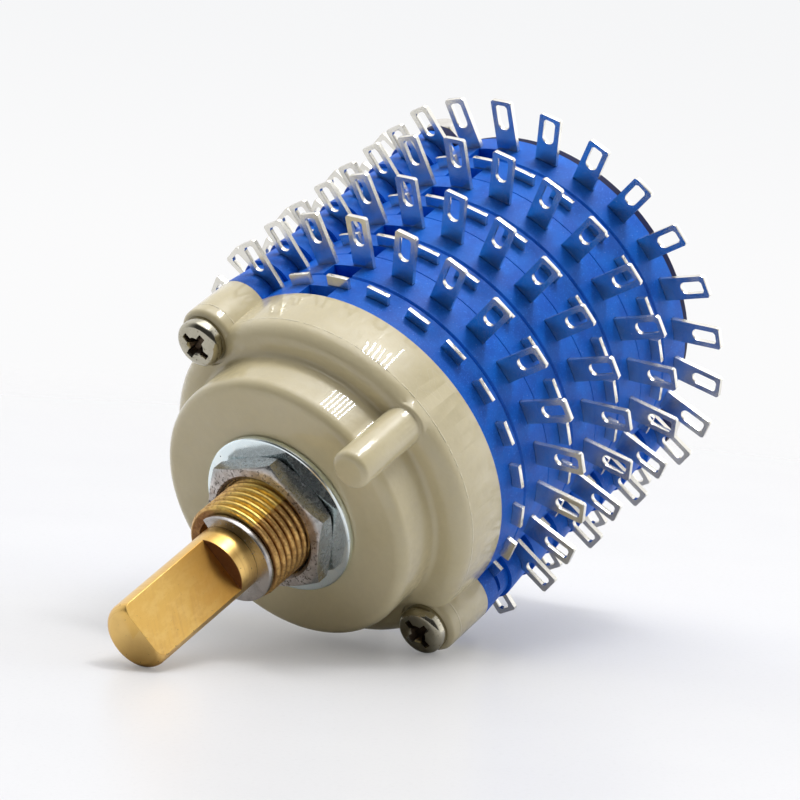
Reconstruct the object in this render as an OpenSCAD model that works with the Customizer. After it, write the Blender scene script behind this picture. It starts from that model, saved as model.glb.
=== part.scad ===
// Rotary switch for panel mounting, with four decks of 24 stations.
// The origin is the middle of the face that meets the panel, and +Z runs along the shaft to its tip.
// The two ears with the through screws lie along X, and the locating pin lies on -Y.

/* [Body] */
// Radius of the housing at its rear edge
body_r = 15.3; // [14.5:0.1:17]
// Width of the step between the housing's edge and the raised boss that meets the panel
step_w = 2.9; // [2.5:0.1:3.7]
// Height of the boss above the shoulder
boss_h = 4.6; // [4.2:0.1:6]
// Depth of the housing from its shoulder to the first deck
shoulder_h = 5.7; // [5.5:0.1:8]
// Radius of the rounding on the boss
edge_r = 1; // [0.3:0.1:1.2]
// Radius of the rounding on the shoulder's rim
rim_round = 1.6; // [0.5:0.1:1.8]
// Distance from the housing's edge out to each through screw
ear_out = 0.1; // [0:0.05:0.5]
// Radius of the two ears
ear_r = 2.65; // [2.5:0.05:3]

/* [Locating pin] */
// Radius of the pin that stops the switch turning in its panel
pin_r = 1.75; // [1.2:0.05:1.8]
// Distance from the housing's edge in to the pin's axis
pin_in = 2.1; // [1.9:0.1:2.4]
// Height of the pin above the panel face
pin_out = 2.85; // [2:0.05:4]

/* [Bushing] */
// Outer radius of the bushing's thread
thread_r = 4.5; // [4.3:0.1:5]
// Length of the bushing in front of the panel face
bushing_out = 7; // [6:0.5:12]
// Outer radius of the panel washer
washer_r = 7.4; // [7:0.1:9]
// Thickness of the panel washer
washer_t = 0.7; // [0.4:0.1:1]
// Width of the panel nut across its flats
nut_af = 11.3; // [11:0.1:13]
// Thickness of the panel nut
nut_h = 2.1; // [1.6:0.1:3]

/* [Shaft] */
// Radius of the shaft
shaft_r = 3; // [2.5:0.1:3.2]
// Length of the shaft in front of the panel face
shaft_out = 20.6; // [17:0.2:40]
// Length of the milled flat
flat_len = 10.8; // [4:0.2:12]
// Depth that the flat is milled into the shaft
flat_depth = 1.5; // [0.3:0.1:1.5]
// Thickness of the clip at the bushing's mouth
clip_t = 0.6; // [0.4:0.1:0.8]

/* [Decks] */
// Thickness of one wafer, half a deck
wafer_h = 3.67; // [3.6:0.01:4.2]
// Length of the solder lugs outside the wafers
lug_out = 4.8; // [3.8:0.1:6.8]
// Width of a solder lug
lug_w = 2.13; // [1.6:0.01:2.3]
// Thickness of the sheet that the lugs are stamped from
lug_t = 0.4; // [0.3:0.05:0.5]
// Length of the short tabs outside the wafers
tab_out = 0.95; // [0.8:0.05:1.8]
// Width of the eye in a solder lug
eye_w = 1.15; // [0.6:0.05:1.2]
// Length of the eye in a solder lug
eye_len = 2.4; // [1.4:0.1:2.6]
// Angle of the stations beside an ear, measured from the middle of the ear
ear_station = 9.3; // [8.8:0.1:9.6]

/* [Screws] */
// Radius of the through screws
screw_r = 1; // [0.8:0.05:1]
// Radius of a screw head
head_r = 2.15; // [1.9:0.05:2.2]
// Height of a screw head
head_h = 1.5; // [1.3:0.1:1.7]

/* [Clearances] */
// Radial clearance where one piece turns in another
running_gap = 0.05; // [0.02:0.01:0.08]
// Clearance round a piece that is fitted and stays put
fit_gap = 0.02; // [0.01:0.01:0.03]

/* [Hidden] */

$fn = 96;
eps = 0.01;
through = 1;

stations = 24;
decks = 4;
station_step = 360 / stations;
deck_h = 2 * wafer_h;
stack_top = -boss_h - shoulder_h;
stack_end = stack_top - decks * deck_h;

// Housing
boss_r = body_r - step_w;
ear_x = body_r + ear_out;
pin_y = body_r - pin_in;
draft = 0.15;
boss_fillet = 0.5;
ear_seat_z = -boss_h - 0.3;
ear_round = 0.5;
spot_r = head_r + 0.3;
pin_round = 0.6;
pin_foot_r = pin_r + 0.03;
foot_fillet = 0.2;
pad_r = pin_r + 0.4;
pad_round = 0.15;
pad_z = -boss_h - 0.4;
cavity_r = boss_r - 1.4;
front_wall = 3.2;
flange_t = 1.2;
flange_z = -front_wall;
flange_r = thread_r + 2;
flange_af = 2 * flange_r - 1.8;

// Bushing, washer and nut
buried_r = thread_r + 0.2;
bore_r = shaft_r + running_gap;
mouth_chamfer = 0.45;
end_chamfer = 0.2;
nut_z = washer_t;
nut_turn = 8;
nut_chamfer = 0.5;

// Shaft and clip
groove_z = bushing_out + 0.05;
groove_r = shaft_r - 0.5;
groove_h = clip_t + 2 * fit_gap;
tip_round = 0.8;
collar_r = shaft_r + 1.4;
collar_h = 1;
collar_z = flange_z - running_gap;
tail_r = shaft_r - 0.5;
tail_flat = tail_r - 0.5;
journal_r = tail_r - 1;
clip_r = shaft_r + 1.05;
clip_lean = 0.25;
clip_arc = 236;
clip_open_angle = 22;

// Detent
ball_r = 1.3;
ball_travel = 0.3;
crest_r = cavity_r - 0.4;
ball_x = crest_r - ball_r - 0.03;
scallop_r = ball_r + 0.06;
ring_t = 2.98;
ring_z = stack_top + fit_gap;
ring_top = ring_z + ring_t;
ring_r = body_r - 2.2;
key_w = 2.4;
key_out = 0.9;
ball_z = stack_top + 1.9;
carrier_z = stack_top + 0.1;
carrier_h = 3.8;
carrier_r = crest_r - 1;
ball_bore_r = ball_r + running_gap;
bore_floor = 4.6;
hub_r = 4.4;
stop_in_r = 7.6;
stop_lug_r = carrier_r + 0.6;
stop_lug_w = 7;
stop_rib_w = 6;
stop_lug_h = 1.7;
home_turn = -82.5;
spring_r = ball_r - 0.25;
wire_r = 0.2;
spring_turns = 4;

// Wafers
hole_r = hub_r - 0.4 + running_gap;
tab_depth = wafer_h / 2 + 0.17;
lug_depth = wafer_h + wafer_h / 2 + 0.2;
wall_in_r = body_r - 2.3;
wafer_r = body_r - 0.1;
lug_tip_r = wafer_r + lug_out;
tab_tip_r = wafer_r + tab_out;
open_chamfer = 0.16;
tight_chamfer = 0.04;
ear_draft = 0.35;
notch_from = -37.5;
notch_to = -26;
notch_floor_r = wafer_r - 1.2;
notch_h = tab_depth - lug_t / 2 - 0.15;
screw_hole_r = screw_r + 0.15;

// Contacts
ring_in_r = wall_in_r - 4;
pad_in_r = ring_in_r + 0.2;
pad_w = 1.4;
eye_margin = 0.4;
eye_corner = 0.2;
tip_chamfer_lug = 0.18;
tab_w = lug_w + 0.05;
common_angle = -ear_station;

// Rotors and wipers
sleeve_r = hub_r - 0.4;
rotor_r = wall_in_r - 0.5;
rotor_top = tab_depth + lug_t / 2 + 0.65;
rotor_end = lug_depth - lug_t / 2 - 0.65;
leaf_t = 0.25;
leaf_gap = 0.06;
leaf_w = 1.6;
leaf_in_r = ring_in_r + 0.6;
leaf_out_r = rotor_r - 0.2;
slot_in_r = leaf_out_r - leaf_t - 0.15;

// End plate and screw ends
plate_t = 0.9;
plate_r = body_r - 0.4;
plate_ear_r = ear_r - 0.25;
screw_nut_af = 4.4;
screw_nut_h = 1.7;
screw_end_z = stack_end - plate_t - screw_nut_h - 0.8;
head_round = 0.55;
crown = 10;
recess_w = 0.55;
recess_len = 2.5;
recess_depth = 0.95;
recess_turn = [17, -38];

// Angle of each station, where the two beside each ear stand off from it
function station_angle(i) =
    let (a = station_step * (i + 0.5), beside = station_step / 2)
    abs(a - beside) < eps ? ear_station :
    abs(a - 180 + beside) < eps ? 180 - ear_station :
    abs(a - 180 - beside) < eps ? 180 + ear_station :
    abs(a - 360 + beside) < eps ? 360 - ear_station : a;

// Points along an arc from angle a to angle b, for a rounded corner
function arc(x, z, r, a, b, n = 6) =
    [for (i = [0:n]) [x + r * cos(a + (b - a) * i / n), z + r * sin(a + (b - a) * i / n)]];

// A turned solid standing on z, with radius r and height h
module disc(r, z, h) {
    translate([0, 0, z]) cylinder(r = r, h = h);
}

// The two places of the through screws
module at_screws() {
    for (side = [0, 1]) rotate([0, 0, 180 * side]) translate([ear_x, 0, 0]) children();
}

// Round bar with two flats, which turns whatever sits on it
module two_flat_bar(r, half_flat, z, h) {
    intersection() {
        disc(r, z, h);
        translate([-r, -half_flat, z]) cube([2 * r, 2 * half_flat, h]);
    }
}

// A sector of a ring, about the X axis, w degrees wide
module sector(r_in, r_out, w, z, h) {
    span = 2 * r_out;
    difference() {
        disc(r_out, z, h);
        disc(r_in, z - through, h + 2 * through);
        rotate([0, 0, w / 2]) translate([-span, 0, z - through]) cube([2 * span, span, h + 2 * through]);
        rotate([0, 0, -w / 2]) translate([-span, -span, z - through]) cube([2 * span, span, h + 2 * through]);
    }
}

// Housing

module housing_body() {
    rotate_extrude() polygon(concat(
        [[0, stack_top], [body_r, stack_top]],
        arc(body_r - draft - rim_round, -boss_h - rim_round, rim_round, 0, 90, 8),
        arc(boss_r + boss_fillet, -boss_h + boss_fillet, boss_fillet, 270, 180),
        arc(boss_r - edge_r, -edge_r, edge_r, 0, 90),
        [[0, 0]]
    ));
    at_screws() rotate_extrude() polygon(concat(
        [[0, stack_top], [ear_r, stack_top]],
        arc(ear_r - ear_round, ear_seat_z - ear_round, ear_round, 0, 90),
        [[0, ear_seat_z]]
    ));
    translate([0, -pin_y, 0]) rotate_extrude() polygon(concat(
        [[0, stack_top], [pad_r, stack_top]],
        arc(pad_r - pad_round, pad_z - pad_round, pad_round, 0, 90, 3),
        arc(pin_foot_r + foot_fillet, pad_z + foot_fillet, foot_fillet, 270, 180, 4),
        [[pin_r, 0]],
        arc(pin_r - pin_round, pin_out - pin_round, pin_round, 0, 90),
        [[0, pin_out]]
    ));
}

module housing() {
    color("wheat") {
        difference() {
            housing_body();
            disc(cavity_r, stack_top - through, shoulder_h + boss_h - front_wall + through);
            disc(ring_r + fit_gap, stack_top - through, ring_top - stack_top + fit_gap + through);
            for (side = [0, 1]) rotate([0, 0, 180 * side])
                translate([-key_w / 2 - fit_gap, 0, stack_top - through])
                cube([key_w + 2 * fit_gap, ring_r + key_out + fit_gap, ring_top - stack_top + fit_gap + through]);
            disc(buried_r + fit_gap, flange_z - through, front_wall + 2 * through);
            two_flat_bar(flange_r + fit_gap, flange_af / 2 + fit_gap, flange_z - through, flange_t + through + fit_gap);
            at_screws() {
                disc(screw_hole_r, stack_top - through, shoulder_h + 2 * through);
                disc(spot_r, ear_seat_z, boss_h);
            }
        }
        // Fixed stop that the carrier's lug meets at both ends of the travel
        intersection() {
            rotate([0, 0, 180 + station_step / 2]) sector(stop_in_r, cavity_r + eps, stop_rib_w,
                carrier_z + carrier_h + 0.1, flange_z + eps - carrier_z - carrier_h - 0.1);
            disc(cavity_r + eps, stack_top, front_wall - stack_top);
        }
    }
}

// Bushing, washer and nut

module bushing() {
    color("goldenrod") difference() {
        union() {
            rotate_extrude() polygon([
                [0, flange_z + fit_gap], [buried_r, flange_z + fit_gap], [buried_r, 0],
                [thread_r, 0], [thread_r, bushing_out - end_chamfer],
                [thread_r - end_chamfer, bushing_out], [0, bushing_out],
            ]);
            two_flat_bar(flange_r, flange_af / 2, flange_z, flange_t);
        }
        disc(bore_r, flange_z - through, front_wall + bushing_out + 2 * through);
        translate([0, 0, bushing_out - mouth_chamfer])
            cylinder(r1 = bore_r, r2 = bore_r + mouth_chamfer + eps, h = mouth_chamfer + eps);
    }
}

module panel_washer() {
    color("lightsteelblue") difference() {
        rotate_extrude() polygon(concat(
            [[0, 0]],
            arc(washer_r - washer_t / 3, washer_t / 3, washer_t / 3, 270, 360, 3),
            arc(washer_r - washer_t / 3, washer_t * 2 / 3, washer_t / 3, 0, 90, 3),
            [[0, washer_t]]
        ));
        disc(thread_r + 2 * fit_gap, -through, washer_t + 2 * through);
    }
}

module hex_nut(af, h, chamfer) {
    corner_r = af / 2 / cos(30);
    intersection() {
        cylinder(r = corner_r, h = h, $fn = 6);
        rotate_extrude() polygon([
            [0, 0], [af / 2 - eps, 0], [corner_r + eps, chamfer], [corner_r + eps, h - chamfer],
            [af / 2 - eps, h], [0, h],
        ]);
    }
}

module panel_nut() {
    color("silver") difference() {
        rotate([0, 0, nut_turn]) translate([0, 0, nut_z + fit_gap]) hex_nut(nut_af, nut_h, nut_chamfer);
        disc(thread_r + fit_gap, nut_z - through, nut_h + 2 * through);
        translate([0, 0, nut_z + nut_h - nut_chamfer + fit_gap])
            cylinder(r1 = thread_r + fit_gap, r2 = thread_r + fit_gap + nut_chamfer, h = nut_chamfer + eps);
    }
}

// Shaft and clip

module shaft() {
    color("gold") {
        difference() {
            union() {
                rotate_extrude() polygon(concat(
                    [[0, collar_z - collar_h], [collar_r, collar_z - collar_h], [collar_r, collar_z],
                    [shaft_r, collar_z], [shaft_r, groove_z], [groove_r, groove_z],
                    [groove_r, groove_z + groove_h], [shaft_r, groove_z + groove_h]],
                    arc(shaft_r - tip_round, shaft_out - tip_round, tip_round, 0, 90),
                    [[0, shaft_out]]
                ));
                two_flat_bar(tail_r, tail_flat, stack_end, collar_z - collar_h - stack_end + eps);
                disc(journal_r, stack_end - plate_t - 0.6, plate_t + 0.6 + eps);
            }
            translate([-shaft_r - through, -shaft_r - through, shaft_out - flat_len])
                cube([2 * shaft_r + 2 * through, flat_depth + through, flat_len + through]);
        }
    }
}

module shaft_clip() {
    open_arc = 360 - clip_arc;
    away = clip_open_angle + 180;
    color("gainsboro") difference() {
        translate([clip_lean * cos(away), clip_lean * sin(away), 0])
            disc(clip_r, groove_z + fit_gap, clip_t);
        disc(groove_r + fit_gap, groove_z - through, clip_t + 2 * through);
        // the mouth, narrower than the groove so that the clip stays on
        rotate([0, 0, clip_open_angle]) intersection() {
            rotate([0, 0, open_arc / 2 - 90]) translate([0, 0, groove_z - through])
                cube([2 * clip_r, 2 * clip_r, clip_t + 2 * through]);
            rotate([0, 0, -open_arc / 2]) translate([0, 0, groove_z - through])
                cube([2 * clip_r, 2 * clip_r, clip_t + 2 * through]);
        }
    }
}

// Detent

module detent_ring() {
    color("slategray") difference() {
        union() {
            disc(ring_r, ring_z, ring_t);
            for (side = [0, 1]) rotate([0, 0, 180 * side]) translate([-key_w / 2, 0, ring_z])
                cube([key_w, ring_r + key_out, ring_t]);
        }
        disc(crest_r, ring_z - through, ring_t + 2 * through);
        for (i = [0:stations - 1]) rotate([0, 0, i * station_step])
            translate([ball_x + ball_travel, 0, 0]) disc(scallop_r, ring_z - through, ring_t + 2 * through);
    }
}

module detent_carrier() {
    top = carrier_z + carrier_h;
    color("dimgray") difference() {
        union() {
            disc(carrier_r, carrier_z, carrier_h);
            disc(hub_r, top - eps, collar_z - collar_h - top);
            sector(stop_in_r, stop_lug_r, stop_lug_w, top - eps, stop_lug_h);
        }
        two_flat_bar(tail_r + fit_gap, tail_flat + fit_gap, carrier_z - through, carrier_h + boss_h + through);
        for (side = [0, 1]) rotate([0, 0, 180 * side]) translate([bore_floor, 0, ball_z])
            rotate([0, 90, 0]) cylinder(r = ball_bore_r, h = carrier_r);
    }
}

// Wire of one spring, as rings of points along a coil that lies on the X axis
module coil(x_from, x_to) {
    sides = 6;
    steps = 12 * spring_turns;
    mid_r = spring_r - wire_r;
    points = [for (i = [0:steps]) for (k = [0:sides - 1])
        let (turn = 360 * spring_turns * i / steps, rr = mid_r + wire_r * cos(360 * k / sides))
        [x_from + (x_to - x_from) * i / steps + wire_r * sin(360 * k / sides), rr * cos(turn), rr * sin(turn)]];
    walls = [for (i = [0:steps - 1]) for (k = [0:sides - 1])
        [i * sides + k, i * sides + (k + 1) % sides, (i + 1) * sides + (k + 1) % sides, (i + 1) * sides + k]];
    caps = [[for (k = [sides - 1:-1:0]) k], [for (k = [0:sides - 1]) steps * sides + k]];
    polyhedron(points = points, faces = concat(walls, caps), convexity = 10);
}

module detent_springs() {
    color("silver") for (side = [0, 1]) rotate([0, 0, 180 * side]) translate([0, 0, ball_z])
        coil(bore_floor + wire_r + fit_gap, ball_x - ball_r - wire_r + 0.1);
}

module detent_ball(side) {
    color("lightgray") rotate([0, 0, 180 * side]) translate([ball_x, 0, ball_z]) sphere(r = ball_r);
}

// Decks. Inside a deck, depth is measured back from the deck's front face.

function deck_z(n) = stack_top - (n - 1) * deck_h;

// Outline shared by both wafers, from depth d_front to d_rear, with a chamfer at each edge
module wafer_blank(n, d_front, d_rear, front_chamfer, rear_chamfer) {
    z = deck_z(n);
    rotate_extrude() polygon([
        [0, z - d_front], [wafer_r - front_chamfer, z - d_front], [wafer_r, z - d_front - front_chamfer],
        [wafer_r, z - d_rear + rear_chamfer], [wafer_r - rear_chamfer, z - d_rear], [0, z - d_rear],
    ]);
    at_screws() translate([0, 0, z - d_rear])
        cylinder(r1 = ear_r - ear_draft, r2 = ear_r, h = d_rear - d_front);
}

// Recess in the front edge of a wafer, beside the ear
module notch(z) {
    rotate([0, 0, (notch_from + notch_to) / 2])
        sector(notch_floor_r, body_r + through, notch_to - notch_from, z - notch_h, notch_h + through);
}

// Rectangular way through the wafer's wall for each station
module wall_slots(z, w, first_r) {
    for (i = [0:stations - 1]) rotate([0, 0, station_angle(i)])
        translate([first_r, -w / 2 - fit_gap, z - lug_t / 2 - fit_gap])
        cube([body_r, w + 2 * fit_gap, lug_t + 2 * fit_gap]);
}

module front_wafer(n) {
    z = deck_z(n);
    floor_d = tab_depth - lug_t / 2 - fit_gap;
    color("royalblue") difference() {
        wafer_blank(n, fit_gap, wafer_h - fit_gap, tight_chamfer, open_chamfer);
        disc(wall_in_r, z - wafer_h - through, wafer_h + through - floor_d);
        disc(hole_r, z - wafer_h - through, wafer_h + 2 * through);
        wall_slots(z - tab_depth, tab_w, wall_in_r - through);
        at_screws() disc(screw_hole_r, z - wafer_h - through, wafer_h + 2 * through);
        notch(z);
    }
}

module rear_wafer(n) {
    z = deck_z(n);
    floor_d = lug_depth + lug_t / 2 + fit_gap;
    color("royalblue") difference() {
        wafer_blank(n, wafer_h + fit_gap, deck_h - fit_gap, open_chamfer, tight_chamfer);
        disc(wall_in_r, z - floor_d, floor_d - wafer_h + through);
        disc(hole_r, z - deck_h - through, wafer_h + 2 * through);
        wall_slots(z - lug_depth, lug_w, wall_in_r - through);
        at_screws() disc(screw_hole_r, z - deck_h - through, wafer_h + 2 * through);
        notch(z - wafer_h);
    }
}

// Solder lug along X from r_in to the tip, with clipped corners and a long eye, round at its inner end
module lug(r_in) {
    eye_end = lug_tip_r - eye_margin;
    eye_r = eye_w / 2;
    translate([0, 0, -lug_t / 2]) difference() {
        linear_extrude(height = lug_t) polygon([
            [r_in, -lug_w / 2], [lug_tip_r - tip_chamfer_lug, -lug_w / 2], [lug_tip_r, -lug_w / 2 + tip_chamfer_lug],
            [lug_tip_r, lug_w / 2 - tip_chamfer_lug], [lug_tip_r - tip_chamfer_lug, lug_w / 2], [r_in, lug_w / 2],
        ]);
        translate([eye_end - eye_len + eye_r, 0, 0]) disc(eye_r, -through, lug_t + 2 * through);
        translate([0, 0, -through]) linear_extrude(height = lug_t + 2 * through) polygon([
            [eye_end - eye_len + eye_r, -eye_r], [eye_end - eye_corner, -eye_r], [eye_end, -eye_r + eye_corner],
            [eye_end, eye_r - eye_corner], [eye_end - eye_corner, eye_r], [eye_end - eye_len + eye_r, eye_r],
        ]);
    }
}

module collector(n) {
    wall = wall_in_r - 2 * fit_gap;
    translate([0, 0, deck_z(n) - tab_depth]) color("lightyellow") difference() {
        union() {
            disc(wall, -lug_t / 2, lug_t);
            for (i = [0:stations - 2]) rotate([0, 0, station_angle(i)])
                translate([ring_in_r + 1, -tab_w / 2, -lug_t / 2]) cube([tab_tip_r - ring_in_r - 1, tab_w, lug_t]);
            rotate([0, 0, common_angle]) lug(ring_in_r + 1);
        }
        disc(ring_in_r, -lug_t, 2 * lug_t);
    }
}

module contacts(n) {
    translate([0, 0, deck_z(n) - lug_depth]) color("lightyellow") for (i = [0:stations - 1]) {
        rotate([0, 0, station_angle(i)]) lug(wall_in_r - 1);
        rotate([0, 0, station_step * (i + 0.5)])
            translate([pad_in_r, -pad_w / 2, -lug_t / 2]) cube([wall_in_r - pad_in_r - 0.6, pad_w, lug_t]);
    }
}

module rotor(n) {
    z = deck_z(n);
    color("ivory") difference() {
        union() {
            disc(sleeve_r, z - deck_h + running_gap, deck_h - 2 * running_gap);
            disc(rotor_r, z - rotor_end, rotor_end - rotor_top);
        }
        two_flat_bar(tail_r + fit_gap, tail_flat + fit_gap, z - deck_h - through, deck_h + 2 * through);
        rotate([0, 0, home_turn]) translate([slot_in_r, -leaf_w / 2 - fit_gap, z - rotor_end - through])
            cube([rotor_r, leaf_w + 2 * fit_gap, rotor_end - rotor_top + 2 * through]);
    }
}

// Folded strip that reaches from the collector, round the rotor's rim, to one contact
module wiper(n) {
    front = tab_depth + lug_t / 2 + leaf_gap;
    rear = lug_depth - lug_t / 2 - leaf_gap;
    bow = rotor_top - leaf_t - front - leaf_gap;
    outer = [
        [leaf_in_r, front], [leaf_in_r + leaf_w / 2, front], [leaf_out_r - leaf_t, front + bow],
        [leaf_out_r, front + bow + leaf_t], [leaf_out_r, rear - bow - leaf_t],
        [leaf_out_r - leaf_t, rear - bow], [leaf_in_r + leaf_w / 2, rear], [leaf_in_r, rear],
    ];
    inner = [
        [leaf_in_r, rear - leaf_t], [leaf_in_r + leaf_w / 2, rear - leaf_t],
        [leaf_out_r - 2 * leaf_t, rear - bow - leaf_t], [leaf_out_r - leaf_t, rear - bow - 2 * leaf_t],
        [leaf_out_r - leaf_t, front + bow + 2 * leaf_t], [leaf_out_r - 2 * leaf_t, front + bow + leaf_t],
        [leaf_in_r + leaf_w / 2, front + leaf_t], [leaf_in_r, front + leaf_t],
    ];
    color("peru") rotate([0, 0, home_turn]) translate([0, leaf_w / 2, deck_z(n)]) rotate([90, 0, 0])
        linear_extrude(height = leaf_w) polygon([for (p = concat(outer, inner)) [p[0], -p[1]]]);
}

// End plate and screws

module end_plate() {
    top = stack_end - fit_gap;
    color("midnightblue") difference() {
        union() {
            disc(plate_r, top - plate_t, plate_t);
            at_screws() disc(plate_ear_r, top - plate_t, plate_t);
        }
        disc(journal_r + running_gap, top - plate_t - through, plate_t + 2 * through);
        at_screws() disc(screw_hole_r, top - plate_t - through, plate_t + 2 * through);
    }
}

// Pan-head screw, whose side turns into a low dome that slopes by the crown angle where they meet
module deck_screw(turn) {
    dome_r = (head_r - head_round * (1 - sin(crown))) / sin(crown);
    seat = ear_seat_z + fit_gap;
    top = seat + head_h;
    difference() {
        union() {
            disc(screw_r, screw_end_z, seat - screw_end_z + eps);
            rotate_extrude() polygon(concat(
                [[0, seat], [head_r, seat]],
                arc(head_r - head_round, top - dome_r + (dome_r - head_round) * cos(crown), head_round, 0, 90 - crown),
                arc(0, top - dome_r, dome_r, 90 - crown, 90)
            ));
        }
        rotate([0, 0, turn]) translate([0, 0, top - recess_depth]) {
            for (arm = [0, 90]) rotate([0, 0, arm])
                translate([-recess_len / 2, -recess_w / 2, 0]) cube([recess_len, recess_w, head_h]);
            cylinder(r1 = recess_w / 2, r2 = recess_w * 5 / 4, h = recess_depth + eps);
        }
    }
}

module deck_screws() {
    color("silver") for (side = [0, 1]) rotate([0, 0, 180 * side]) translate([ear_x, 0, 0])
        deck_screw(recess_turn[side]);
}

module screw_nuts() {
    color("silver") at_screws() translate([0, 0, stack_end - plate_t - screw_nut_h - 2 * fit_gap])
        difference() {
            hex_nut(screw_nut_af, screw_nut_h, 0.25);
            disc(screw_r + fit_gap, -through, screw_nut_h + 2 * through);
        }
}

housing();
bushing();
panel_washer();
panel_nut();
shaft();
shaft_clip();
detent_ring();
detent_carrier();
detent_springs();
detent_ball(0);  // detent_ball_a
detent_ball(1);  // detent_ball_b
front_wafer(1);  // front_wafer_1
front_wafer(2);  // front_wafer_2
front_wafer(3);  // front_wafer_3
front_wafer(4);  // front_wafer_4
rear_wafer(1);  // rear_wafer_1
rear_wafer(2);  // rear_wafer_2
rear_wafer(3);  // rear_wafer_3
rear_wafer(4);  // rear_wafer_4
collector(1);  // collector_1
collector(2);  // collector_2
collector(3);  // collector_3
collector(4);  // collector_4
contacts(1);  // contacts_1
contacts(2);  // contacts_2
contacts(3);  // contacts_3
contacts(4);  // contacts_4
rotor(1);  // rotor_1
rotor(2);  // rotor_2
rotor(3);  // rotor_3
rotor(4);  // rotor_4
wiper(1);  // wiper_1
wiper(2);  // wiper_2
wiper(3);  // wiper_3
wiper(4);  // wiper_4
end_plate();
deck_screws();
screw_nuts();
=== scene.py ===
import math

import bpy
from mathutils import Matrix, Vector


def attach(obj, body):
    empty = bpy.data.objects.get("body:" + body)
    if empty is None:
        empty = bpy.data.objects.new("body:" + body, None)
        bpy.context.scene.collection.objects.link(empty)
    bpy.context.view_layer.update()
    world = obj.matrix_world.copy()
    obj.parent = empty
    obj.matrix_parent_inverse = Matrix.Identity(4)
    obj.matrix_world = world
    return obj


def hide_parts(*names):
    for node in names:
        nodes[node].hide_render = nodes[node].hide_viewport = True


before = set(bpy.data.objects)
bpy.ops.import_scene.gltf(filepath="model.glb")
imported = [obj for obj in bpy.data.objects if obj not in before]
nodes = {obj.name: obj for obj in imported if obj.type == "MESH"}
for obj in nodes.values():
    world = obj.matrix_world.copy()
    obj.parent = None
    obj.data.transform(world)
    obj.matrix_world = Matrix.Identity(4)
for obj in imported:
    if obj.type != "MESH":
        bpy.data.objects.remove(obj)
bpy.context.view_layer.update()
scene = bpy.context.scene
mm = 0.001
print("frame loaded:", len(nodes), "nodes")


# The viewpoint of the photograph, in the switch's own frame
shot = {
    "place": (0.02314, -0.28767, 0.23612),
    "right": (-0.6080, -0.5518, -0.5708),
    "down": (-0.7918, 0.3687, 0.4871),
    "lens": 199.367,
    "sensor": 36,
}
right = Vector(shot["right"]).normalized()
down = Vector(shot["down"])
down = (down - right * down.dot(right)).normalized()
away = right.cross(down)


def seen(toRight, toTop, toBack):  # a direction given as the photograph shows it
    return right * toRight - down * toTop + away * toBack


def standing(xAxis, yAxis, zAxis, place):
    columns = Matrix((xAxis, yAxis, zAxis)).transposed().to_4x4()
    return Matrix.Translation(place) @ columns


bpy.ops.object.camera_add()
camera = bpy.context.object
camera.name = "camera"
camera.matrix_world = standing(right, -down, -away, Vector(shot["place"]))
camera.data.lens = shot["lens"]
camera.data.sensor_width = shot["sensor"]
camera.data.clip_start, camera.data.clip_end = 0.01, 10
scene.camera = camera
scene.view_settings.view_transform = "Standard"
print("camera set")


# Shader sockets that take arithmetic
class Wire:
    def __init__(self, look, socket):
        self.look, self.socket = look, socket

    def maths(self, operation, *values):
        return self.look.add("Math", {"operation": operation}, dict(enumerate(values)))

    def __add__(self, other):
        return self.maths("ADD", self, other)

    def __sub__(self, other):
        return self.maths("SUBTRACT", self, other)

    def __rsub__(self, other):
        return self.maths("SUBTRACT", other, self)

    def __mul__(self, other):
        return self.maths("MULTIPLY", self, other)

    __radd__, __rmul__ = __add__, __mul__

    def most(self, other):
        return self.maths("MAXIMUM", self, other)

    def size(self):
        return self.maths("ABSOLUTE", self)

    def band(self, low, high):  # 0 below low, 1 above high, smooth between
        return self.look.add("MapRange", {"interpolation_type": "SMOOTHSTEP"},
                             {"Value": self, "From Min": low, "From Max": high})

    def near(self, level, width, fade):  # 1 within width of a level, and 0 from fade on
        return 1 - (self - level).size().band(width, fade)


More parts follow.
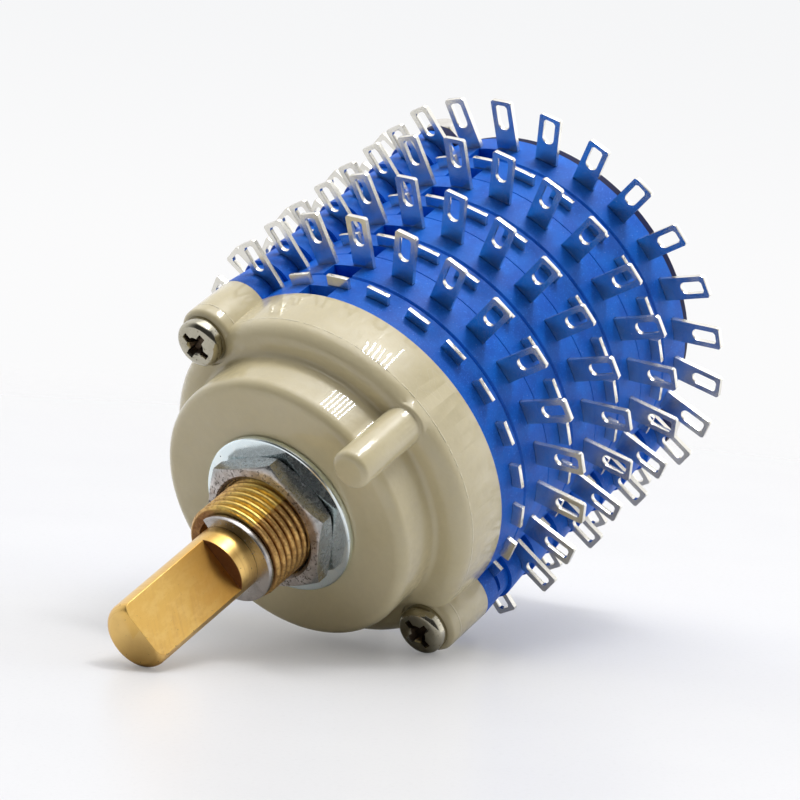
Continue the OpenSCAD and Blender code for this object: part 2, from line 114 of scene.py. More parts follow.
class Look:
    def __init__(self, tree):
        self.tree = tree

    def add(self, kind, settings=None, values=None, output=0):
        node = self.tree.nodes.new("ShaderNode" + kind)
        for name, value in (settings or {}).items():
            setattr(node, name, value)
        for name, value in (values or {}).items():
            self.feed(node, name, value)
        return Wire(self, node.outputs[output])

    def feed(self, node, name, value):
        if isinstance(value, Wire):
            self.tree.links.new(value.socket, node.inputs[name])
        else:
            node.inputs[name].default_value = value

    def place(self):  # object coordinates in millimetres
        return self.vector("SCALE", self.add("TexCoord", output="Object"), scale=1 / mm)

    def vector(self, operation, first, second=(0, 0, 0), scale=1.0, output=0):
        return self.add("VectorMath", {"operation": operation}, {0: first, 1: second, 3: scale}, output)

    def axes(self, at):
        split = self.add("SeparateXYZ", None, {0: at}).socket.node
        return [Wire(self, output) for output in split.outputs]

    def joined(self, x, y, z):
        return self.add("CombineXYZ", None, {0: x, 1: y, 2: z})

    def radius(self, x, y):  # distance from an axis that stands along Z
        return self.vector("LENGTH", self.joined(x, y, 0.0), output=1)

    def noise(self, at, scale, detail=2.0, rough=0.5, warp=0.0):
        return self.add("TexNoise", None, {"Vector": at, "Scale": scale, "Detail": detail,
                                           "Roughness": rough, "Distortion": warp})

    def cells(self, at, scale):
        return self.add("TexVoronoi", None, {"Vector": at, "Scale": scale})

    def mix(self, first, second, share):
        return self.add("Mix", {"data_type": "RGBA"}, {0: share, 6: first, 7: second}, output=2)

    def stretched(self, at, scale, turn=(0, 0, 0)):
        angles = [math.radians(angle) for angle in turn]
        return self.add("Mapping", None, {"Vector": at, "Scale": scale, "Rotation": angles})

    def hairlines(self, at, width, turn, fineness=1.0):  # a few thin scratches lying along one direction
        lines = self.noise(self.stretched(at, (0.08 * fineness, 2.4 * fineness, 0.5), turn), 1, 1)
        patches = self.noise(at, 0.16, 1).band(0.5, 0.62)
        return lines.near(0.5, 0, width) * patches

    def bump(self, height, distance, under=None):
        values = {"Height": height, "Distance": distance * mm}
        if under:
            values["Normal"] = under
        return self.add("Bump", None, values)


class Finish(Look):
    def __init__(self, name, **shader):
        self.material = bpy.data.materials.new(name)
        self.material.use_nodes = True
        super().__init__(self.material.node_tree)
        self.surface = self.tree.nodes["Principled BSDF"]
        for socket, value in shader.items():
            self.surface.inputs[socket.replace("_", " ")].default_value = value

    def dress(self, colour, roughness, **others):
        sockets = {"Base Color": colour, "Roughness": roughness}
        sockets.update({name.replace("_", " "): value for name, value in others.items()})
        for socket, value in sockets.items():
            self.feed(self.surface, socket, value)
        return self.material


# The table is a pale disc that fades out at its rim and isn't seen from below
table = {
    "normal": (0.7427, -0.4993, -0.4462),
    "height": -11.602,
    "middle": -12,  # its centre is the point of the table nearest to this height on the switch's axis
    "radius": 190,
    "rings": (50, 50, 40),  # widths of the rings of faces round its centre
    "fade": (0.5, 0.98),  # shares of the radius between which it fades out
    "colour": (0.66, 0.66, 0.67, 1),
    "cloud": (0.71, 0.71, 0.71, 1),
    "fibre": (0.5, 0.5, 0.5, 1),
    "roughness": 0.34,
    "gloss": 0.12,
    "glow": (0.97, 0.97, 0.975, 1),
    "lift": 0.18,  # how far the shadow is lightened for the viewer, as on a lit table
}
up = Vector(table["normal"]).normalized()
tableMiddle = Vector((0, 0, table["middle"] * mm))
tableMiddle = tableMiddle + up * (table["height"] * mm - tableMiddle.dot(up))
across = (away - up * away.dot(up)).normalized()


def layTable():
    bpy.ops.object.select_all(action="DESELECT")
    bpy.ops.mesh.primitive_circle_add(vertices=96, radius=table["radius"] * mm, fill_type="NGON")
    top = bpy.context.object
    top.name = "table"
    bpy.ops.object.mode_set(mode="EDIT")
    bpy.ops.mesh.select_all(action="SELECT")
    for ring in table["rings"]:
        bpy.ops.mesh.inset(thickness=ring * mm)
    bpy.ops.object.mode_set(mode="OBJECT")
    top.matrix_world = standing(across, up.cross(across), up, tableMiddle)
    look = Finish("table_paper", Specular_IOR_Level=table["gloss"])
    at = look.place()
    cloud = look.noise(at, 0.05, 3)
    fibres = look.noise(at, 2.2, 3, 0.7).band(0.5, 0.75)
    colour = look.mix(table["colour"], table["cloud"], cloud)
    look.dress(look.mix(colour, table["fibre"], fibres * 0.2), table["roughness"])
    fadeFrom, fadeTo = (share * table["radius"] for share in table["fade"])
    gone = look.vector("LENGTH", at, output=1).band(fadeFrom, fadeTo)
    behind = Wire(look, look.tree.nodes.new("ShaderNodeNewGeometry").outputs["Backfacing"])
    clear = look.add("BsdfTransparent")
    body = Wire(look, look.surface.outputs[0])
    glow = look.add("Emission", None, {"Color": table["glow"]})
    body = look.add("MixShader", None, {0: look.add("LightPath") * table["lift"], 1: body, 2: glow})
    shown = look.add("MixShader", None, {0: gone.most(behind), 1: body, 2: clear})
    look.feed(look.tree.nodes["Material Output"], "Surface", shown)
    top.data.materials.append(look.material)


layTable()

# A bright room, darker behind the camera, with a soft glow overhead and a weaker one at the right
studio = {
    "backdrop": ((0.965, 0.965, 0.97, 1), (0.915, 0.92, 0.93, 1)),  # below and above the horizon
    "horizon": (-0.1, -0.02),
    "tint": (1.0, 1.0, 1.02),
    "room": 0.98,
    "ceiling": 0.2,
    "dark": 0.94,
    "darkEdge": (-0.35, 0.55),  # how far a direction faces the camera where the dark begins and is full
    "glows": (  # direction, the angles in degrees where the glow ends and where it is full, and its strength
        {"from": (0.14, 0.96, -0.2), "end": 38, "full": 12, "strength": 2.0},
        {"from": (0.88, 0.3, 0.36), "end": 55, "full": 10, "strength": 0.66},
    ),
}

# Thin lamps overhead, side by side, that show as bright strokes on the ivory
tubes = {
    "count": 6,
    "lean": (14.0, 27.0),  # of the first and the last, in degrees to the right of upright
    "back": (-0.09, -0.2),
    "distance": 0.6,
    "width": 0.008,
    "length": 0.1,
    "power": 0.17,
}


def lightRoom():
    world = bpy.data.worlds.new("studio")
    scene.world = world
    world.use_nodes = True
    look = Look(world.node_tree)
    direction = look.add("TexCoord", output="Generated")
    rising = look.vector("DOT_PRODUCT", direction, up, output=1)
    facing = look.vector("DOT_PRODUCT", direction, -away, output=1)
    dark = facing.band(*studio["darkEdge"]) * studio["dark"]
    level = (studio["room"] + rising.band(0, 1) * studio["ceiling"]) * (1 - dark)
    for glow in studio["glows"]:
        towards = look.vector("DOT_PRODUCT", direction, seen(*glow["from"]).normalized(), output=1)
        end, full = (math.cos(math.radians(glow[edge])) for edge in ("end", "full"))
        level = level + towards.band(end, full) * glow["strength"]
    grey = look.vector("SCALE", studio["tint"], scale=level)
    low, high = studio["backdrop"]
    backdrop = look.mix(low, high, rising.band(*studio["horizon"]))
    look.feed(look.tree.nodes["Background"], "Color", look.mix(grey, backdrop, look.add("LightPath")))


def hangTube(name, share):
    lean, back = (first + (last - first) * share for first, last in (tubes["lean"], tubes["back"]))
    lean = math.radians(lean)
    direction = seen(math.sin(lean), math.cos(lean), back).normalized()
    side = away.cross(direction).normalized()
    bpy.ops.object.light_add(type="AREA")
    lamp = bpy.context.object
    lamp.name = name
    lamp.data.shape = "RECTANGLE"
    lamp.data.size, lamp.data.size_y = tubes["width"], tubes["length"]
    lamp.data.energy = tubes["power"]
    lamp.visible_camera = False
    place = tableMiddle + direction * tubes["distance"]
    lamp.matrix_world = standing(side, direction.cross(side), direction, place)


lightRoom()
for i in range(tubes["count"]):
    hangTube("tube_%d" % (i + 1), i / (tubes["count"] - 1))
print("table and light set")


ivory = {
    "light": (0.64, 0.56, 0.353, 1),
    "dark": (0.605, 0.522, 0.308, 1),
    "scratch": (0.70, 0.65, 0.5, 1),
    # the colour of a painted highlight along the parting line
    "partingHighlight": (0.82, 0.77, 0.62, 1),
    "partingAt": -6.2,
    "roughness": 0.26,
    "polish": 0.45,  # the clear skin of the moulding where it is dullest
}


def ivoryMoulding():
    look = Finish("ivory_moulding", Coat_Roughness=0.025, Specular_IOR_Level=0.3)
    at = look.place()
    height = look.axes(at)[2]
    cloud = look.noise(at, 0.11, 3)
    grain = look.noise(at, 2.6, 3)
    # a raised line along the mould's parting line, in the bump, with a painted highlight along it in the
    # colour
    partingRidgeAndHighlight = height.near(ivory["partingAt"], 0.02, 0.1) * look.noise(at, 1.6, 2).band(0.35, 0.6)
    scratch = look.hairlines(at, 0.012, (0, 0, 35)).most(look.hairlines(at, 0.01, (70, 20, -50), 1.3))
    colour = look.mix(ivory["light"], ivory["dark"], cloud.band(0.35, 0.68))
    colour = look.mix(colour, ivory["scratch"], scratch * 0.15)
    colour = look.mix(colour, ivory["partingHighlight"], partingRidgeAndHighlight * 0.3)
    rough = ivory["roughness"] + cloud * 0.1 + scratch * 0.2
    polish = ivory["polish"] + look.noise(at, 1.3, 3, 0.6).band(0.38, 0.58) * 0.35
    bump = look.bump(grain * 0.3 + look.noise(at, 0.9, 2) * 1.6 + cloud + partingRidgeAndHighlight * 2.5, 0.022)
    bump = look.bump(1 - scratch, 0.004, under=bump)
    return look.dress(colour, rough, Normal=bump, Coat_Weight=polish)


blue = {
    "dark": (0.001, 0.1, 0.56, 1),
    "light": (0.003, 0.14, 0.67, 1),
    "speck": (0.02, 0.22, 0.86, 1),
    "crumb": (0.3, 0.5, 0.9, 1),
    "roughness": 0.38,
}


def blueMoulding():
    look = Finish("blue_moulding", Specular_IOR_Level=0.23)
    at = look.place()
    cloud = look.noise(at, 0.35, 4, 0.6)
    grain = look.noise(at, 5.5, 3, 0.75)
    speck = look.noise(at, 8, 1).band(0.58, 0.76)
    crumbs = look.cells(at, 2.3).band(0.12, 0.05) * look.noise(at, 0.7, 1).band(0.5, 0.62)
    colour = look.mix(blue["dark"], blue["light"], cloud.band(0.35, 0.65))
    colour = look.mix(colour, blue["speck"], speck * 0.7)
    colour = look.mix(colour, blue["crumb"], crumbs * 0.5)
    rough = blue["roughness"] + cloud * 0.2 - speck * 0.1
    return look.dress(colour, rough, Normal=look.bump(grain + crumbs * 0.6, 0.022))


brass = {
    # in each tone the first colour is for the painted lit side and the shaft's flat, the second for the rest
    # of the turn
    "plain": {
        "litSideAndFlat": (0.79, 0.5, 0.14, 1), "awayFromLitSide": (0.82, 0.55, 0.19, 1), "groove": (0.83, 0.56, 0.2, 1),
        "floor": 0, "crest": 0.1, "wear": 0,
    },
    "thread": {
        "litSideAndFlat": (1.0, 0.72, 0.2, 1), "awayFromLitSide": (0.74, 0.47, 0.17, 1), "groove": (0.18, 0.08, 0.03, 1),
        "floor": 4.16, "crest": 4.38, "wear": 0.8,  # radii of the thread, and how far its crests are worn
    },
    "tarnish": (0.62, 0.36, 0.12, 1),
    "worn": (0.36, 0.19, 0.07, 1),
    "mottle": (0.98, 0.7, 0.27, 1),
    # painted shade: on the flat near its end wall, and dark brown on the end wall itself
    "shade": (0.54, 0.28, 0.06, 1),
    "endWallShade": (0.26, 0.12, 0.05, 1),
    "speck": (0.1, 0.05, 0.03, 1),
    "roughness": 0.24,
    "flatAt": -1.5,  # the shaft's flat, where it begins, and how far its shade reaches
    "flatStart": 9.8,
    "shadeEnd": 17,
}


def turnedBrass(name, tone):
    look = Finish(name, Metallic=1.0)
    at = look.place()
    x, y, z = look.axes(at)
    flatAt, flatStart = brass["flatAt"], brass["flatStart"]
    reach = look.radius(x, y)
    around = y.maths("ARCTAN2", y, x)
    onFlat = y.band(flatAt + 0.06, flatAt + 0.01) * z.band(flatStart - 0.1, flatStart)
    mottle = look.noise(look.joined(x * 1.6, y, z * 0.8), 1.1, 4, 0.65, 0.3).band(0.4, 0.66)
    # painted shade: the end wall of the flat is painted dark brown
    endWallShade = z.near(flatStart, 0.02, 0.05) * y.band(flatAt + 0.08, flatAt - 0.02)
    turning = look.noise(look.joined(x * 0.15, y * 0.15, z * 9), 1, 3, 0.6)
    slant = look.joined((z * 0.52 - x * 0.85) * 0.22, y, (x * 0.52 + z * 0.85) * 3.4)
    brushing = look.noise(slant, 1, 4, 0.65, 0.25)
    cloud = look.noise(at, 0.4, 3)
    specks = look.noise(at, 3.3, 2).band(0.68, 0.75)
    worn = look.noise(look.joined(x, y, z * 1.6), 2.2, 4, 0.7).band(0.4, 0.66)
    marks = turning + (brushing - turning) * onFlat
    # painted highlight: a band on one side of the turn, between two angles round the axis, is painted bright
    # as if lit, with less tarnish, wear and specks; round the rest the turn keeps the other colour
    paintedLitSide = around.band(-1.37, -1.32) * (1 - around.band(-0.7, -0.1))
    tarnish = (marks.band(0.45, 0.75) * 0.5 + cloud.band(0.5, 0.7) * 0.25) * (1 - paintedLitSide * 0.6)
    # the thread's grooves are painted dark, part grime and part painted shade, and lifted halfway towards the
    # lit colour on the painted lit side
    groove = look.mix(tone["groove"], tone["litSideAndFlat"], paintedLitSide * 0.5)
    colour = look.mix(tone["awayFromLitSide"], tone["litSideAndFlat"], paintedLitSide.most(onFlat))
    colour = look.mix(colour, brass["tarnish"], tarnish)
    colour = look.mix(colour, groove, 1 - reach.band(tone["floor"], tone["crest"]))
    colour = look.mix(colour, brass["worn"], worn * (1 - paintedLitSide * 0.65) * tone["wear"])
    colour = look.mix(colour, brass["mottle"], onFlat * mottle * 0.3)
    colour = look.mix(colour, brass["shade"], onFlat * (1 - z.band(flatStart, brass["shadeEnd"])) * 0.9)
    colour = look.mix(colour, brass["endWallShade"], endWallShade)
    colour = look.mix(colour, brass["speck"], specks * (0.8 - paintedLitSide * 0.5))
    rough = brass["roughness"] + marks * 0.16 + worn * tone["wear"] * 0.15
    rough = rough + onFlat * (0.16 - mottle * 0.12) + endWallShade * 0.15
    return look.dress(colour, rough, Normal=look.bump(marks + worn * tone["wear"] * 1.5, 0.012))


zinc = {
    "light": (0.9, 0.99, 1.0, 1),
    "stain": (0.84, 0.95, 0.98, 1),
    "spot": (0.08, 0.1, 0.12, 1),
    "roughness": 0.13,
}


def zincPlate():
    look = Finish("zinc", Metallic=1.0)
    at = look.place()
    cloud = look.noise(at, 0.25, 4, 0.6)
    stain = look.noise(at, 0.3, 3, 0.6, 0.6).band(0.5, 0.53)
    spot = look.noise(at, 2.4, 2).band(0.71, 0.74)
    colour = look.mix(zinc["light"], zinc["stain"], stain)
    colour = look.mix(colour, zinc["spot"], spot)
    rough = zinc["roughness"] + cloud * 0.05 + stain * 0.02 + spot * 0.3
    return look.dress(colour, rough, Normal=look.bump(cloud * 0.3 + look.noise(at, 5, 2) * 0.15, 0.0012))


def dullSteel(name, light, dark, smooth, rough):
    look = Finish(name, Metallic=1.0)
    at = look.place()
    cloud = look.noise(at, 0.6, 4, 0.6)
    grain = look.noise(at, 7, 3, 0.7)
    pits = look.noise(at, 3.1, 2).band(0.66, 0.74)
    colour = look.mix(light, dark, cloud.band(0.35, 0.7))
    colour = look.mix(colour, (0.12, 0.1, 0.09, 1), pits * 0.5)
    rough = smooth + (rough - smooth) * cloud + pits * 0.2
    return look.dress(colour, rough, Normal=look.bump(grain - pits, 0.008))


nut = {  # worn plating: rough and speckled on the top face, smoother and greyer on the sides
    "sides": ((0.45, 0.455, 0.45, 1), (0.37, 0.365, 0.355, 1)),
    "face": ((0.74, 0.7, 0.68, 1), (0.48, 0.44, 0.41, 1)),
    "faceFrom": 2.5,
    "faceTo": 2.76,
    "rust": (0.34, 0.24, 0.16, 1),
    "pit": (0.08, 0.065, 0.055, 1),
    "roughness": 0.23,
}


def nutSteel():
    look = Finish("nut_steel", Metallic=1.0)
    at = look.place()
    face = look.axes(at)[2].band(nut["faceFrom"], nut["faceTo"])
    cloud = look.noise(at, 0.8, 4, 0.65)
    grain = look.noise(at, 6.0, 3, 0.7)
    pits = look.noise(at, 3.4, 3, 0.6).band(0.54, 0.63)
    rust = look.noise(at, 1.1, 3, 0.6).band(0.55, 0.7)
    colour = look.mix(*nut["sides"], cloud.band(0.3, 0.8))
    colour = look.mix(colour, look.mix(*nut["face"], cloud.band(0.35, 0.65)), face)
    colour = look.mix(colour, nut["rust"], rust * (0.15 + face * 0.25))
    colour = look.mix(colour, nut["pit"], pits * (0.1 + face * 0.65))
    rough = nut["roughness"] + cloud * 0.08 + face * 0.14 + pits * 0.2
    return look.dress(colour, rough, Normal=look.bump((grain - pits) * (0.25 + face * 0.75), 0.007))


lug = {
    "light": (0.82, 0.8, 0.73, 1),
    "dark": (0.74, 0.72, 0.65, 1),
    "roughness": 0.15,
}


def lugPlate():
    look = Finish("lug_plate", Metallic=1.0)
    at = look.place()
    cloud = look.noise(at, 0.5, 3)
    grain = look.noise(at, 5, 3, 0.65)
    rolled = look.noise(look.stretched(at, (1.6, 1.6, 12)), 1, 2)
    colour = look.mix(lug["light"], lug["dark"], cloud.band(0.35, 0.7))
    rough = lug["roughness"] + grain * 0.12 + cloud * 0.06
    return look.dress(colour, rough, Normal=look.bump(grain * 0.6 + rolled * 0.4, 0.006))


def plainMoulding(name, light, dark, rough, scale, gloss=0.5):
    look = Finish(name, Specular_IOR_Level=gloss)
    at = look.place()
    cloud = look.noise(at, scale, 3)
    grain = look.noise(at, 4, 3)
    colour = look.mix(light, dark, cloud.band(0.35, 0.7))
    return look.dress(colour, rough + cloud * 0.12, Normal=look.bump(grain, 0.01))


finishes = {
    "ivory_moulding": ivoryMoulding(),
    "blue_moulding": blueMoulding(),
    "brass": turnedBrass("brass", brass["plain"]),
    "zinc": zincPlate(),
    "nut_steel": nutSteel(),
    "clip_steel": dullSteel("clip_steel", (0.52, 0.5, 0.49, 1), (0.36, 0.34, 0.33, 1), 0.18, 0.32),
    "lug_plate": lugPlate(),
    "nickel": dullSteel("nickel", (0.76, 0.74, 0.69, 1), (0.7, 0.67, 0.61, 1), 0.07, 0.14),
    "ball_steel": dullSteel("ball_steel", (0.62, 0.62, 0.63, 1), (0.55, 0.55, 0.56, 1), 0.08, 0.16),
    "spring_steel": dullSteel("spring_steel", (0.5, 0.49, 0.47, 1), (0.4, 0.39, 0.37, 1), 0.22, 0.35),
    "bronze": dullSteel("bronze", (0.7, 0.42, 0.22, 1), (0.58, 0.33, 0.16, 1), 0.2, 0.34),
    "carrier_moulding": plainMoulding("carrier_moulding", (0.03, 0.03, 0.032, 1), (0.05, 0.05, 0.05, 1),
                                      0.4, 0.4),
    "rotor_moulding": plainMoulding("rotor_moulding", (0.7, 0.66, 0.55, 1), (0.62, 0.58, 0.47, 1),
                                    0.35, 0.3),
    "plate_laminate": plainMoulding("plate_laminate", (0.004, 0.007, 0.05, 1), (0.007, 0.012, 0.07, 1),
                                    0.45, 0.5, gloss=0.15),
}
for node in nodes.values():
    for slot in node.material_slots:
        slot.material = finishes[slot.material.name.split(".")[0]]
print("finishes made:", len(finishes))


def only(piece):  # nothing else stays selected
    bpy.ops.object.select_all(action="DESELECT")
    piece.select_set(True)
    bpy.context.view_layer.objects.active = piece


def apply(piece, kind, **settings):
    only(piece)
    modifier = piece.modifiers.new(kind.lower(), kind)
    for name, value in settings.items():
        setattr(modifier, name, value)
    bpy.ops.object.modifier_apply(modifier=modifier.name)


def rounded(piece, width, sharp):  # bevels edges that turn by more than sharp, in degrees
    apply(piece, "BEVEL", width=width * mm, segments=2, limit_method="ANGLE", angle_limit=math.radians(sharp))


def join(piece, finish, body, smooth, replaced):  # faces that meet at less than smooth are shaded as one
    only(piece)
    bpy.ops.object.transform_apply(location=True, rotation=True, scale=True)
    bpy.ops.object.shade_smooth_by_angle(angle=math.radians(smooth))
    piece.data.materials.clear()
    piece.data.materials.append(finishes[finish])
    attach(piece, body)
    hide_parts(replaced)


def copied(name):  # a CAD node's mesh, merged and with its flat faces whole again
    piece = bpy.data.objects.new(name + "_finished", nodes[name].data.copy())
    scene.collection.objects.link(piece)
    only(piece)
    bpy.ops.mesh.customdata_custom_splitnormals_clear()
    bpy.ops.object.mode_set(mode="EDIT")
    bpy.ops.mesh.select_all(action="SELECT")
    bpy.ops.mesh.remove_doubles(threshold=0.002 * mm)
    bpy.ops.mesh.dissolve_limited(angle_limit=math.radians(1))
    bpy.ops.object.mode_set(mode="OBJECT")
    return piece


def turned(name, outline, sides, at=(0, 0)):  # a ring of points carried along an outline of (radius, height)
    bpy.ops.object.select_all(action="DESELECT")
    radius, height = outline[0]
    bpy.ops.mesh.primitive_circle_add(vertices=sides, radius=radius * mm,
                                      location=(at[0] * mm, at[1] * mm, height * mm))
    piece = bpy.context.object
    piece.name = name
    bpy.ops.object.transform_apply(location=True)
    bpy.ops.object.mode_set(mode="EDIT")
    bpy.ops.mesh.select_all(action="SELECT")
    for nextRadius, nextHeight in outline[1:]:
        bpy.ops.mesh.extrude_region_move(TRANSFORM_OT_translate={"value": (0, 0, (nextHeight - height) * mm)})
        share = nextRadius / radius
        bpy.ops.transform.resize(value=(share, share, 1),
                                 center_override=(at[0] * mm, at[1] * mm, nextHeight * mm))
        radius, height = nextRadius, nextHeight
    bpy.ops.mesh.select_all(action="SELECT")
    bpy.ops.mesh.remove_doubles(threshold=0.001 * mm)
    bpy.ops.mesh.normals_make_consistent(inside=False)
    bpy.ops.object.mode_set(mode="OBJECT")
    return piece


def cutThread(piece, at, crest, depth, pitch, start, end):  # moves a turned wall in to the floor of a thread
    for vertex in piece.data.vertices:
        x, y, z = vertex.co.x / mm - at[0], vertex.co.y / mm - at[1], vertex.co.z / mm
        radius = math.hypot(x, y)
        if radius < crest - depth * 1.05 or not start <= z <= end:  # the bore and the plain parts stay
            continue
        phase = z / pitch - math.atan2(y, x) / (2 * math.pi)
        fade = min(1, (z - start) / pitch)
        groove = depth * (0.5 - 0.5 * math.cos(2 * math.pi * phase)) ** 2
        share = min(radius, crest - groove * fade) / radius
        vertex.co.x, vertex.co.y = (at[0] + x * share) * mm, (at[1] + y * share) * mm


bushing = {
    "bore": 3.05,
    "mouth": 0.45,
    "length": 7.0,
    "chamfer": 0.2,
    "buried": 4.7,
    "shoulder": -2.0,
    "flange": 6.5,
    "flats": 5.6,
    "bottom": -3.2,
    "thread": {"crest": 4.5, "depth": 0.4, "pitch": 0.75, "start": 0.05},
    "sides": 128,
    "steps": 88,
    "smooth": 40,
}


def makeBushing():
    b, crest = bushing, bushing["thread"]["crest"]
    straight = b["length"] - b["chamfer"]
    outline = [(b["flange"], b["bottom"]), (b["flange"], b["shoulder"])]
    outline += [(b["buried"], b["shoulder"]), (b["buried"], 0)]
    outline += [(crest, straight * i / b["steps"]) for i in range(b["steps"] + 1)]
    outline += [(crest - b["chamfer"] * i / 3, straight + b["chamfer"] * i / 3) for i in range(1, 4)]
    outline += [(b["bore"] + b["mouth"], b["length"]), (b["bore"], b["length"] - b["mouth"])]
    outline += [(b["bore"], b["bottom"]), outline[0]]
    piece = turned("bushing_finished", outline, b["sides"])
    cutThread(piece, (0, 0), end=b["length"], **b["thread"])
    only(piece)
    bpy.ops.object.mode_set(mode="EDIT")
    for side in (1, -1):
        bpy.ops.mesh.select_all(action="SELECT")
        bpy.ops.mesh.bisect(plane_co=(0, side * b["flats"] * mm, 0), plane_no=(0, side, 0),
                            use_fill=True, clear_outer=True)
    bpy.ops.object.mode_set(mode="OBJECT")
    join(piece, "brass", "stator", b["smooth"], "bushing")
    piece.data.materials[0] = turnedBrass("brass_thread", brass["thread"])


makeBushing()
print("bushing threaded")

screw = {
    "at": 15.4,
    "shank": 1.0,
    "point": 0.25,
    "end": -43.06,
    "thread": {"depth": 0.2, "pitch": 0.4, "start": -43.01, "end": -40.2},
    "seat": -4.88,
    "head": 2.15,
    "height": 1.5,
    "round": 0.55,
    "crown": 10,
    "edge": 0.035,
    "sharp": 42,
    "smooth": 30,
    "recess": {"turn": (12, 2), "width": 0.8, "length": 3.6, "deep": 1.0, "over": 1.0, "taper": 0.6},
    "pit": {"tip": 0.3, "mouth": 1.05, "deep": 1.35, "below": 0.05},  # the cone in the middle of the cross
    "plating": ((0.47, 0.44, 0.35, 1), (0.4, 0.375, 0.29, 1)),
    "mark": (0.12, 0.09, 0.06, 1),
    # a darker colour inside the recess of the head, out to a radius from its axis
    "recessDarkening": (0.09, 0.065, 0.045, 1),
    "recessDarkeningTo": 1.42,
    "roughness": 0.08,
    "sides": 64,
}
headTop = screw["seat"] + screw["height"]
pole = 0.0001  # radius of a ring that closes an end, merged to one point later


def screwNickel():  # bright plating, darker inside the recess of the head
    look = Finish("screw_nickel", Metallic=1.0)
    at = look.place()
    x, y, z = look.axes(at)
    reach = look.radius(x.size() - screw["at"], y)
    # darker inside the cross recess, from a little below the top of the head, within a radius of its axis
    sunk = (headTop - z).band(0.16, 0.3) * z.band(screw["seat"] + 0.02, screw["seat"] + 0.08)
    recessDarkening = sunk * (1 - reach.band(screw["recessDarkeningTo"] - 0.12, screw["recessDarkeningTo"]))
    cloud = look.noise(at, 0.7, 3)
    marks = look.noise(at, 4.2, 3, 0.65, 0.6).band(0.63, 0.67)
    colour = look.mix(*screw["plating"], cloud.band(0.35, 0.7))
    colour = look.mix(colour, screw["mark"], marks * 0.8)
    colour = look.mix(colour, screw["recessDarkening"], recessDarkening)
    rough = screw["roughness"] + cloud * 0.08 + marks * 0.15 + recessDarkening * 0.3
    return look.dress(colour, rough, Normal=look.bump(cloud + look.noise(at, 2.2, 2), 0.01))


def panHead():  # outline of the head: a rounded rim that runs into a shallow dome
    s = screw
    crown = math.radians(s["crown"])
    dome = (s["head"] - s["round"] * (1 - math.sin(crown))) / math.sin(crown)
    centre = headTop - dome
    rim = centre + (dome - s["round"]) * math.cos(crown)
    outline = [(s["head"], s["seat"])]
    for i in range(9):
        angle = math.radians((90 - s["crown"]) * i / 8)
        outline.append((s["head"] - s["round"] * (1 - math.cos(angle)), rim + s["round"] * math.sin(angle)))
    for i in range(5, 0, -1):
        outline.append((dome * math.sin(crown * i / 6), centre + dome * math.cos(crown * i / 6)))
    return outline + [(pole, headTop)]


def cutWith(piece, tool):
    apply(piece, "BOOLEAN", object=tool, operation="DIFFERENCE", solver="EXACT")
    bpy.data.objects.remove(tool)


def sinkCross(piece, x, turn):
    recess, pit = screw["recess"], screw["pit"]
    floor = headTop - recess["deep"]
    height = recess["deep"] + recess["over"]
    taper = recess["taper"]
    for arm in (0, 90):
        bpy.ops.object.select_all(action="DESELECT")
        bpy.ops.mesh.primitive_cube_add(size=1, location=(x * mm, 0, (floor + height / 2) * mm),
                                        rotation=(0, 0, math.radians(turn + arm)),
                                        scale=(recess["length"] * mm, recess["width"] * mm, height * mm))
        tool = bpy.context.object
        bpy.ops.object.transform_apply(location=True, rotation=True, scale=True)
        bpy.ops.object.mode_set(mode="EDIT")
        bpy.ops.mesh.select_all(action="DESELECT")
        bpy.ops.object.mode_set(mode="OBJECT")
        for face in tool.data.polygons:
            face.select = face.center.z < (floor + 0.01) * mm
        bpy.ops.object.mode_set(mode="EDIT")
        bpy.ops.transform.resize(value=(taper, taper, 1), center_override=(x * mm, 0, floor * mm))
        bpy.ops.object.mode_set(mode="OBJECT")
        cutWith(piece, tool)
    bpy.ops.object.select_all(action="DESELECT")
    bpy.ops.mesh.primitive_cone_add(vertices=32, radius1=pit["tip"] * mm, radius2=pit["mouth"] * mm,
                                    depth=pit["deep"] * mm,
                                    location=(x * mm, 0, (floor - pit["below"] + pit["deep"] / 2) * mm))
    cutWith(piece, bpy.context.object)


def makeScrew(name, side, turn, finish):
    s, thread = screw, screw["thread"]
    at = (s["at"] * side, 0)
    threaded = thread["end"] - s["end"]
    steps = round(threaded / thread["pitch"] * 8)
    low = s["end"] + s["point"]
    shank = [(pole, s["end"]), (s["shank"] - s["point"], s["end"])]
    shank += [(s["shank"], low + (threaded - s["point"]) * i / steps) for i in range(steps + 1)]
    shank += [(s["shank"], s["seat"])]
    piece = turned(name, shank + panHead(), s["sides"], at)
    cutThread(piece, at, s["shank"], **thread)
    sinkCross(piece, at[0], turn)
    rounded(piece, s["edge"], s["sharp"])
    join(piece, "nickel", "stator", s["smooth"], "deck_screws")
    piece.data.materials[0] = finish


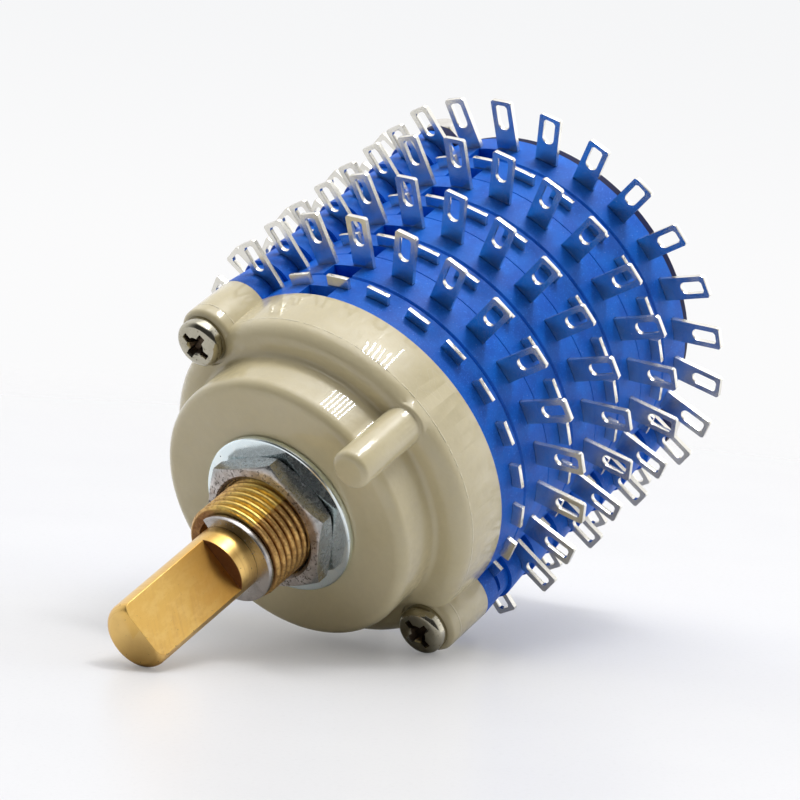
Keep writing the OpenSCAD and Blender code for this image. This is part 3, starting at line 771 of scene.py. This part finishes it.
screwFinish = screwNickel()
makeScrew("deck_screw_a", 1, screw["recess"]["turn"][0], screwFinish)
makeScrew("deck_screw_b", -1, screw["recess"]["turn"][1], screwFinish)
print("screws made")

moulding = {
    "wall": 15.3,
    "draft": 0.15,
    "rim": -6.2,
    "joint": -10.3,
    "padHalf": 1.5,  # half the width of the strip behind the locating pin
    "edge": 0.06,
    "sharp": 70,
    "smooth": 40,
}


def makeHousing():  # the wall runs on smoothly behind the locating pin
    m = moulding
    piece = copied("housing")
    bpy.ops.object.mode_set(mode="EDIT")
    bpy.ops.mesh.select_all(action="SELECT")
    bpy.ops.mesh.bisect(plane_co=(0, 0, (m["rim"] - 0.05) * mm), plane_no=(0, 0, 1))
    bpy.ops.object.mode_set(mode="OBJECT")
    for vertex in piece.data.vertices:
        x, y, z = vertex.co / mm
        radius = math.hypot(x, y)
        wall = m["wall"] - m["draft"] * (z - m["joint"]) / (m["rim"] - m["joint"])
        if abs(x) < m["padHalf"] and y < 0 and z < m["rim"] and radius > wall:
            vertex.co.x, vertex.co.y = vertex.co.x * wall / radius, vertex.co.y * wall / radius
    rounded(piece, m["edge"], m["sharp"])
    join(piece, "ivory_moulding", "stator", m["smooth"], "housing")


makeHousing()
print("housing finished")

edges = {  # finish, body and rounding of the sharp edges in millimetres, by node
    "shaft": ("brass", "rotor", 0.07),
    "shaft_clip": ("clip_steel", "rotor", 0.09),
    "panel_nut": ("nut_steel", "stator", 0.07),
    "screw_nuts": ("nickel", "stator", 0.05),
    "end_plate": ("plate_laminate", "stator", 0.1),
}
stamping = {"decks": 4, "nodes": ("contacts_%d", "collector_%d"), "edge": 0.022}
for deck in range(1, stamping["decks"] + 1):
    for name in stamping["nodes"]:
        edges[name % deck] = ("lug_plate", "stator", stamping["edge"])
softening = {"sharp": 30, "smooth": 38}


def softened(name, finish, body, width):  # the node's own shape, with its sharp edges rounded
    piece = copied(name)
    rounded(piece, width, softening["sharp"])
    join(piece, finish, body, softening["smooth"], name)
    apply(piece, "WEIGHTED_NORMAL", keep_sharp=True, weight=100)


for name, (finish, body, width) in edges.items():
    softened(name, finish, body, width)
print("edges rounded")
